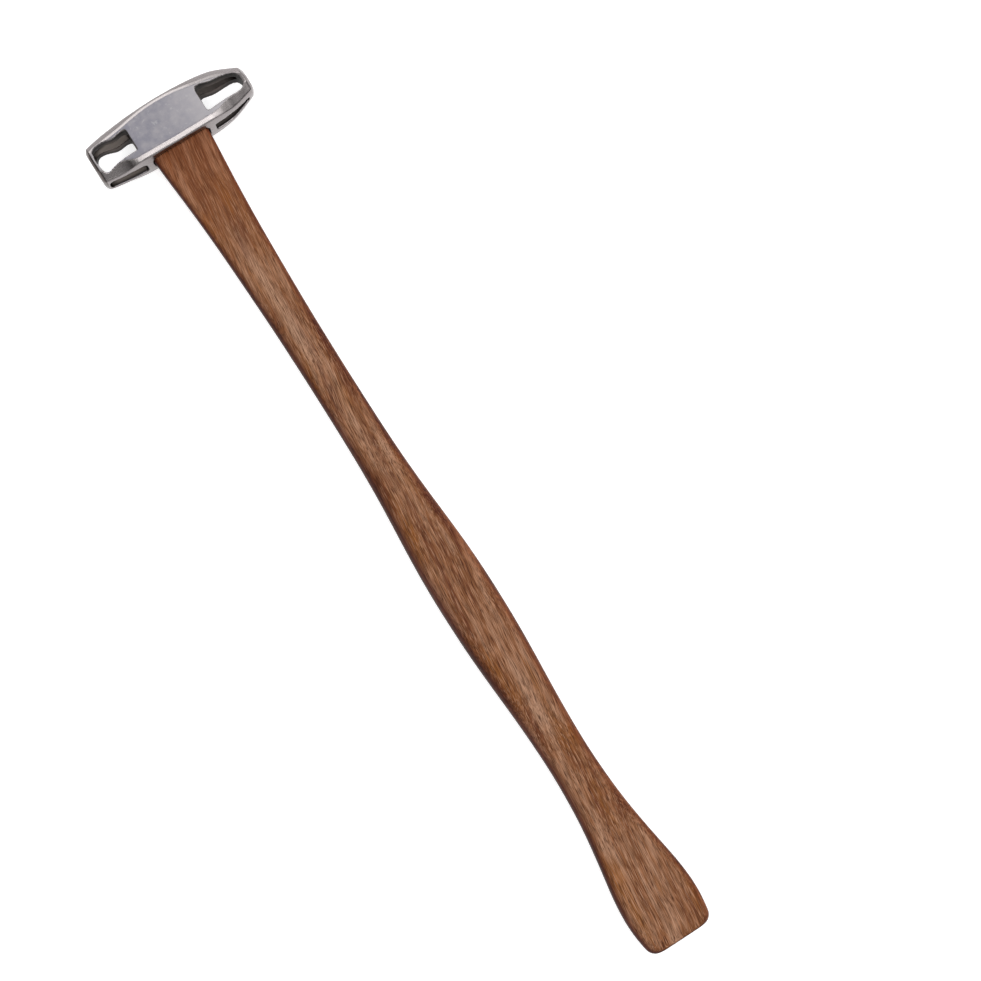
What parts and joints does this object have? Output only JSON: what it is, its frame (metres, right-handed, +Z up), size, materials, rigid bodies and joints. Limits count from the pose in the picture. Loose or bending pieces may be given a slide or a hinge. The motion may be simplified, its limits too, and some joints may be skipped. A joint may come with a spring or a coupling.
{
  "type": "auto body hammer",
  "caption": "Light panel hammer: tapered steel head with windows and slots right through it, wedged on a long waisted wooden handle with a flared flat end.",
  "frame": {"origin": "on the lower cheek of the head, below the middle of the block that holds the eye: the hammer lies on its side", "axes": "+Z up through the cheeks, +X along the head towards the small face, +Y from the butt of the handle to the top of the head"},
  "size_m": [0.0598, 0.325, 0.0146],
  "materials": {
    "head_steel": "forged tool steel, ground and hand polished, satin cheeks with bright polished edges",
    "handle_wood": "reddish brown open-pored hardwood, sanded and rubbed with oil to a low sheen",
    "wedge_wood": "pale hardwood, sawn and driven flush",
    "wedge_steel": "mild steel, dull, hammered over at its top"
  },
  "bodies": {
    "root": {"head": "head_steel", "handle": "handle_wood", "eye_wedge": "wedge_wood", "cross_wedge": "wedge_steel"}
  },
  "joints": []
}
